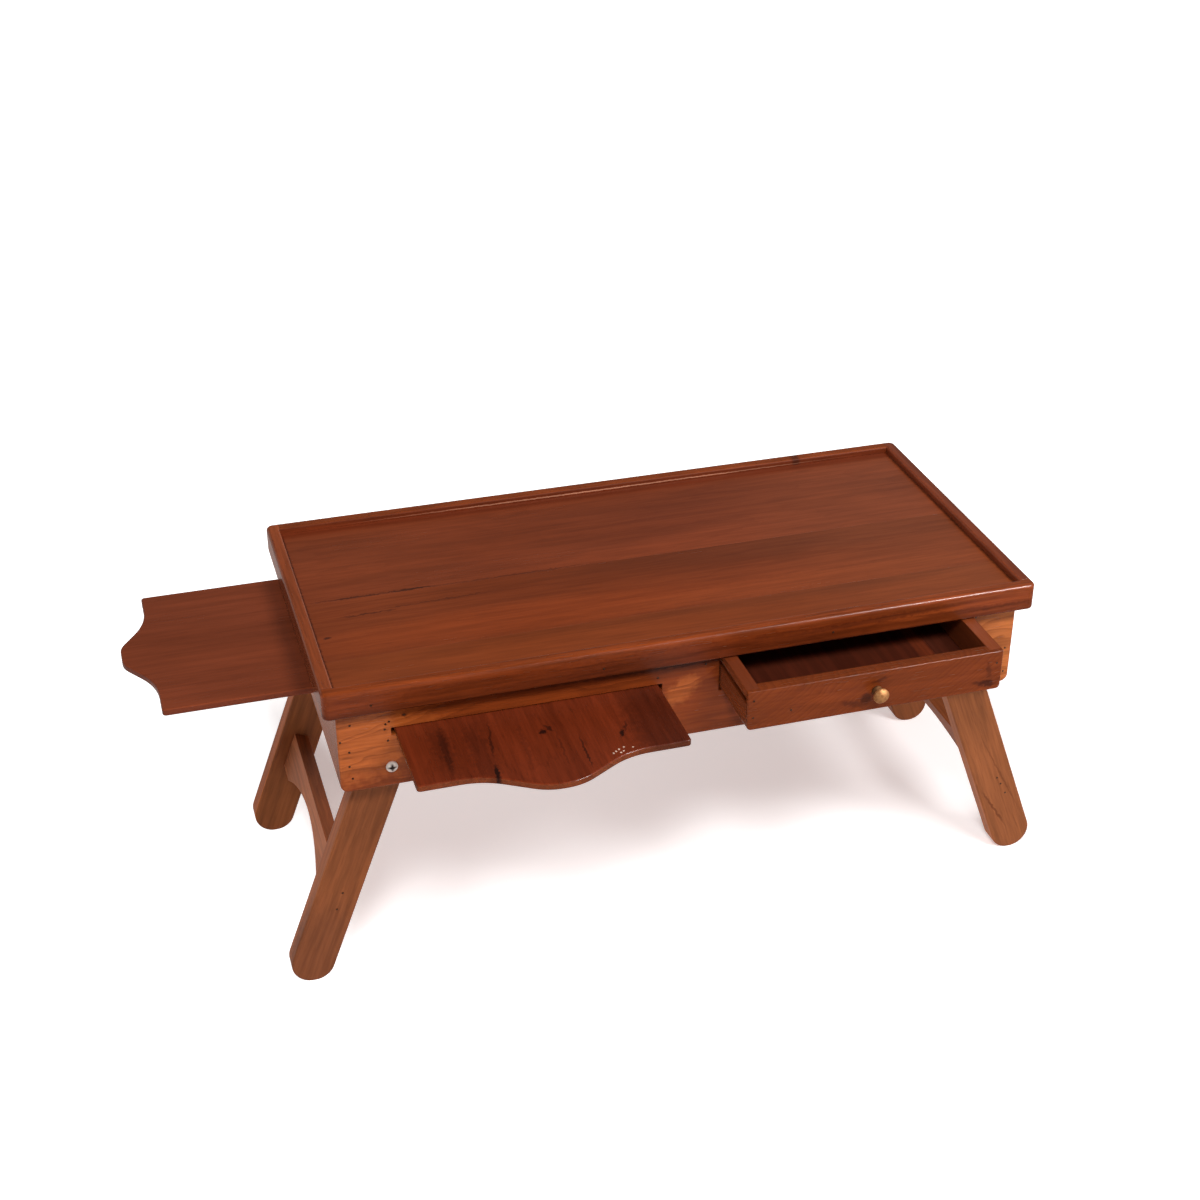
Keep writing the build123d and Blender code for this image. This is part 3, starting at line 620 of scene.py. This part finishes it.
# Each stretcher's upright faces are painted paler than its top and bottom edges: painted reflection of
# the pale floor.
for place, (name, face_tone) in enumerate(
    (("left_stretcher", srgb(182, 110, 72)), ("right_stretcher", srgb(163, 88, 52)))
):
    finish_nodes(
        lacquered_wood(
            f"{name}_wood", srgb(154, 83, 45), front_to_back, (36 + place, 0, 0), ring=0.008, rough=0.4,
            shine=0.25, sides=("Z", face_tone),
        ),
        name,
    )

# Pivot fittings: steel screws with pan heads and a cross recess, which the legs turn on, with
# washers either side of the leg and a nut inside. All are nickel-plated.

finish_nodes(nickel, "pivot_washers", "pivot_nuts")
head_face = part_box("pivot_screws")[1][1]
pivot_x, _, pivot_z = right_fold["pos_m"]
# The cross recess is painted dark on each head: painted shade.
recess_long, recess_wide = 0.0046, 0.0018
recess = [
    ((pivot_x, head_face, -pivot_z), half, straight, 0.0012, 0.95, srgb(46, 30, 24))
    for half in ((recess_long, 0.02, recess_wide), (recess_wide, 0.02, recess_long))
]
screw_nickel = worn_metal(
    "screw_nickel", srgb(240, 230, 222), srgb(222, 210, 202), 0.4, 0.5, recess, mirrored=True
)
finish_nodes(screw_nickel, "pivot_screws")

# Nails: small iron wire nails driven flush by hand and left bare, in the box corners, the rim, the
# drawer front and through the legs into the stretchers.

nail_radius, nail_rise, nail_depth = 0.001, 0.0002, 0.004
nail_iron = worn_metal("nail_iron", srgb(88, 70, 57), srgb(38, 27, 21), 0.5)
to_front, to_back = (0, -1, 0), (0, 1, 0)


def nail_heads(name, body, centres, outward):
    """Low domes at the centres, facing outward, as one mesh that rides on a body.

    Each is a profile turned about the outward axis: rings of a spherical cap, given as shares of
    the radius and of the rise, closed by a cone down to a point inside the wood.
    """
    profile = ((0.5, 0.8), (0.86, 0.35), (1.0, 0.0))
    sides = 12
    angle = np.arange(sides) * 2 * pi / sides
    axis = np.array(outward, float)
    first = np.cross(axis, (0, 0, 1))
    first /= np.linalg.norm(first)
    second = np.cross(axis, first)
    spin = np.cos(angle)[:, None] * first + np.sin(angle)[:, None] * second
    shell = np.concatenate(
        [axis[None] * nail_rise]
        + [spin * wide * nail_radius + axis * high * nail_rise for wide, high in profile]
        + [axis[None] * -nail_depth]
    )
    points = (np.array(centres)[:, None] + shell[None]).reshape(-1, 3)
    here = np.arange(sides)
    ahead = (here + 1) % sides
    start = 1 + sides * np.arange(len(profile))
    tip = len(shell) - 1
    caps = np.concatenate(
        (
            np.column_stack((np.zeros(sides, int), 1 + here, 1 + ahead)),
            np.column_stack((np.full(sides, tip), start[-1] + ahead, start[-1] + here)),
        )
    )
    bands = np.concatenate(
        [np.column_stack((a + here, b + here, b + ahead, a + ahead)) for a, b in zip(start, start[1:])]
    )
    step = len(shell) * np.arange(len(centres))[:, None, None]
    faces = (caps + step).reshape(-1, 3).tolist() + (bands + step).reshape(-1, 4).tolist()
    mesh = bpy.data.meshes.new(name)
    mesh.from_pydata(points.tolist(), [], faces)
    mesh.polygons.foreach_set("use_smooth", np.ones(len(mesh.polygons), bool))
    mesh.materials.append(nail_iron)
    heads = bpy.data.objects.new(name, mesh)
    bpy.context.collection.objects.link(heads)
    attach(heads, body)


box_front_places = (
    (-0.252, -0.0337), (-0.2549, -0.0359), (-0.2557, -0.0406), (-0.2537, -0.0516), (-0.2397, -0.0297),
    (-0.2918, -0.0464), (-0.2851, -0.057), (-0.2857, -0.0705), (-0.2839, -0.0823), (-0.2833, -0.0319),
    (0.288, -0.0605), (0.2888, -0.0843), (0.2567, -0.0245), (-0.0285, -0.0338), (0.0129, -0.0277),
)
box_back_places = [(x, z) for x in (-0.2865, 0.2865) for z in (-0.036, -0.06, -0.084)]
box_back_places += [(x, -0.03) for x in (-0.2565, -0.019, 0.019, 0.2565)]
rim_front_places = ((-0.2669, -0.0092), (-0.078, -0.0096), (0.12, -0.0095))
drawer_front_places = ((0.0306, -0.0437), (0.0632, -0.0422), (0.0308, -0.028), (0.2446, -0.03))
for name, body, y, places, outward in (
    ("nails_box_front", "desk", apron_face, box_front_places, to_front),
    ("nails_box_back", "desk", -apron_face, box_back_places, to_back),
    ("nails_rim_front", "desk", rim_face, rim_front_places, to_front),
    ("nails_drawer_front", "drawer", drawer_face, drawer_front_places, to_front),
):
    nail_heads(name, body, [(x, y, z) for x, z in places], outward)
for body, side, places in (
    ("left_legs", -1, ((0.138, -0.003), (0.155, -0.003))),
    ("right_legs", 1, ((0.146, 0.003), (0.1545, 0.0045), (0.167, 0.006))),
):
    down = np.array((side * sin(splay), 0, -cos(splay)))
    out = np.array((side * cos(splay), 0, sin(splay)))
    pivot = np.array((side * pivot_x, leg_face, pivot_z))
    centres = np.array([pivot + down * far + out * off for far, off in places])
    nail_heads(f"nails_{body}_front", body, centres, to_front)
    nail_heads(f"nails_{body}_back", body, centres * (1, -1, 1), to_back)

# Studio: a sheet of pale paper under the desk, which fades to a white background, is darkened
# faintly behind the left legs by a painted shadow and is clear from below, in a dim room. Its glow
# is stronger on the left than on the right, painted light that lifts its shadows there, and in
# reflections it glows under and behind the desk, painted light where it lies in shade. Two soft
# lamps at either hand light the wood, and a third only glints in the lacquer.

floor_z = cad_box[0][2]
white = (1, 1, 1, 1)
# In reflections the paper's tone is darker and its glow has a tint of its own: painted reflection.
paper_tone, paper_in_gloss = (0.9, 0.9, 0.9, 1), (0.22, 0.18, 0.17, 1)
glow_left, glow_right = (0.565, 0.495, 0.485, 1), (0.5, 0.43, 0.42, 1)
glow_painted_shadow, glow_in_gloss = (0.36, 0.28, 0.265, 1), (0.44, 0.34, 0.31, 1)


def floor_sheet(half):
    """A flat square sheet of so much half width, as a grid of one cell."""
    mesh = bpy.data.meshes.new("studio_floor")
    u, v = np.meshgrid((-half, half), (-half, half))
    points = np.column_stack((u.ravel(), v.ravel(), np.full(4, floor_z)))
    mesh.from_pydata(points.tolist(), [], [(0, 1, 3, 2)])
    sheet = bpy.data.objects.new("studio_floor", mesh)
    bpy.context.collection.objects.link(sheet)
    return sheet


floor = floor_sheet(6.0)
paper = bpy.data.materials.new("studio_paper")
paper.use_nodes = True
tree = paper.node_tree
tree.nodes.clear()
light_path = add(tree, "ShaderNodeLightPath").outputs
in_gloss = light_path["Is Glossy Ray"]
seen = calc(tree, "MAXIMUM", light_path["Is Camera Ray"], light_path["Is Transmission Ray"])
point = add(tree, "ShaderNodeTexCoord").outputs["Object"]
along, back, _ = add(tree, "ShaderNodeSeparateXYZ", {0: point}).outputs
reach = vector(tree, "LENGTH", vector(tree, "MULTIPLY_ADD", point, (1, 1.25, 0), (-0.07, 0, 0)))
outside = calc(tree, "MAXIMUM", ramp(tree, reach, 0.34, 0.74), fade(tree, along, -0.33, -0.27))
# Painted shadow: a soft dark streak on the paper behind the left legs.
inputs = {"Point": point, "Centre": (-0.268, 0.165, floor_z), "Half": (0.026, 0.14, 0.1), "Ragged": 0.0}
painted_shadow = add(tree, "ShaderNodeGroup", inputs, node_tree=blemish).outputs["Spot"]
# The glow is stronger on the left than on the right: painted light that lifts the shadows there.
tint = mixed(tree, ramp(tree, along, -0.1, 0.2), glow_left, glow_right)
tint = mixed(tree, outside, tint, white)
tint = mixed(tree, calc(tree, "MULTIPLY", painted_shadow, seen), tint, glow_painted_shadow)
tint = mixed(tree, in_gloss, tint, glow_in_gloss)
# Painted light: seen in reflections, the paper glows under and behind the desk, where it lies in shade.
glossy_glow = calc(tree, "MULTIPLY", ramp(tree, back, -0.32, -0.08), in_gloss)
strength = calc(tree, "MAXIMUM", seen, glossy_glow)
glow = add(tree, "ShaderNodeEmission", {"Color": tint, "Strength": strength}).outputs[0]
sheet_tone = mixed(tree, in_gloss, paper_tone, paper_in_gloss)
lit = add(tree, "ShaderNodeBsdfDiffuse", {"Color": sheet_tone}).outputs[0]
upper = add(tree, "ShaderNodeAddShader", {0: lit, 1: glow}).outputs[0]
below = add(tree, "ShaderNodeNewGeometry").outputs["Backfacing"]
clear = add(tree, "ShaderNodeBsdfTransparent").outputs[0]
surface = add(tree, "ShaderNodeMixShader", {0: below, 1: upper, 2: clear}).outputs[0]
tree.links.new(surface, add(tree, "ShaderNodeOutputMaterial").inputs[0])
floor.data.materials.append(paper)

room_tone, room_in_gloss = (1, 0.96, 0.94, 1), (1, 0.87, 0.81, 1)
world = bpy.data.worlds.new("studio_room")
bpy.context.scene.world = world
world.use_nodes = True
tree = world.node_tree
tree.nodes.clear()
light_path = add(tree, "ShaderNodeLightPath").outputs
seen = calc(tree, "MAXIMUM", light_path["Is Camera Ray"], light_path["Is Transmission Ray"])
direction = add(tree, "ShaderNodeTexCoord").outputs["Generated"]
heading = add(tree, "ShaderNodeSeparateXYZ", {0: direction}).outputs
inputs = {"Color": room_tone, "Strength": ramp(tree, heading["Z"], 0.05, 0.6, 0.85, 0.12)}
room = add(tree, "ShaderNodeBackground", inputs).outputs[0]
overhead = ramp(tree, heading["X"], 0.18, 0.5, 0.06, 0.21)
inputs = {"Color": room_in_gloss, "Strength": ramp(tree, heading["Z"], 0.05, 0.4, 0.65, overhead)}
mirrored_room = add(tree, "ShaderNodeBackground", inputs).outputs[0]
backdrop = add(tree, "ShaderNodeBackground", {"Color": white, "Strength": 1.0}).outputs[0]
inputs = {0: light_path["Is Glossy Ray"], 1: room, 2: mirrored_room}
around = add(tree, "ShaderNodeMixShader", inputs).outputs[0]
shown = add(tree, "ShaderNodeMixShader", {0: seen, 1: around, 2: backdrop}).outputs[0]
tree.links.new(shown, add(tree, "ShaderNodeOutputWorld").inputs[0])

lamp_distance = 2.3
for name, towards, watts, width, height, lights, glints in (
    ("lamp_right", (0.42, -0.88, 1.0), 35.0, 1.0, 0.5, True, False),
    ("lamp_left", (-0.33, -0.89, 1.0), 27.0, 0.45, 0.45, True, False),
    ("lamp_glint", (0.9, -0.93, 1.0), 55.0, 0.6, 0.15, False, True),
):
    lamp = bpy.data.lights.new(name, "AREA")
    lamp.shape = "RECTANGLE"
    lamp.energy = watts
    lamp.size = width
    lamp.size_y = height
    holder = bpy.data.objects.new(name, lamp)
    away = np.array(towards) / np.linalg.norm(towards)
    holder.location = (away * lamp_distance).tolist()
    holder.rotation_euler = (atan2(hypot(*away[:2]), away[2]), 0, atan2(away[0], -away[1]))
    holder.visible_diffuse = lights
    holder.visible_glossy = glints
    bpy.context.collection.objects.link(holder)

# Camera: a full-frame camera with a slightly long lens, to the left of the desk's middle and
# looking down on it. Its place is fitted to the straight edges of the top, the rim and the box.

camera_place = (-0.4582, -1.4006, 0.8085)
camera_azimuth = radians(-16.744)
camera_elevation = radians(29.954)
camera = bpy.data.cameras.new("photo_camera")
camera.sensor_width = 36.0
camera.lens = 57.806
camera_holder = bpy.data.objects.new("photo_camera", camera)
camera_holder.location = camera_place
camera_holder.rotation_euler = (pi / 2 - camera_elevation, 0, camera_azimuth)
bpy.context.collection.objects.link(camera_holder)
bpy.context.scene.camera = camera_holder
bpy.context.scene.view_settings.view_transform = "Standard"
